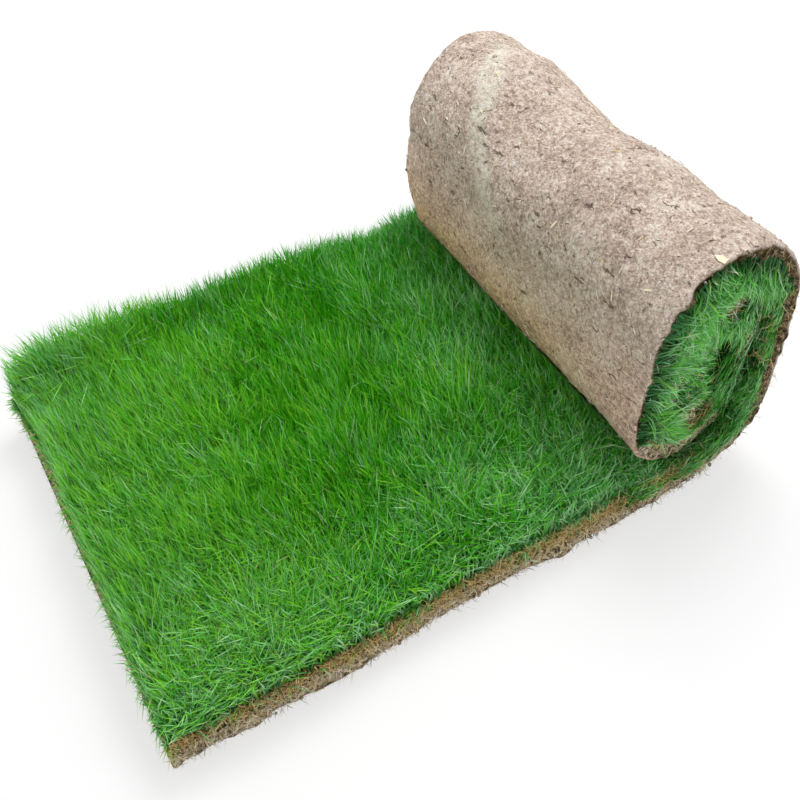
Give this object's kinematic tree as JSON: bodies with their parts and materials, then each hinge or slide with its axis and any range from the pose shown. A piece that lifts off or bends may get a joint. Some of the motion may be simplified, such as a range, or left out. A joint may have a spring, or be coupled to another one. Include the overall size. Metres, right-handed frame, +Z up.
{
  "type": "roll of turf",
  "caption": "Half-unrolled roll of turf: a flat run of grass on its root and soil mat, with the rest of the strip rolled up grass side in.",
  "frame": {"origin": "on the ground, under the middle of the box around the flat run and the roll", "axes": "+X along the strip from its free end to the roll, +Y across the strip, +Z up"},
  "size_m": [0.6466, 0.406, 0.264],
  "materials": {
    "soil": "dry crumbly grey-brown soil bound by roots",
    "grass": "fresh green grass blades, soft and slightly glossy"
  },
  "bodies": {
    "root": {"soil_mat": "soil", "grass": "grass"}
  },
  "joints": []
}
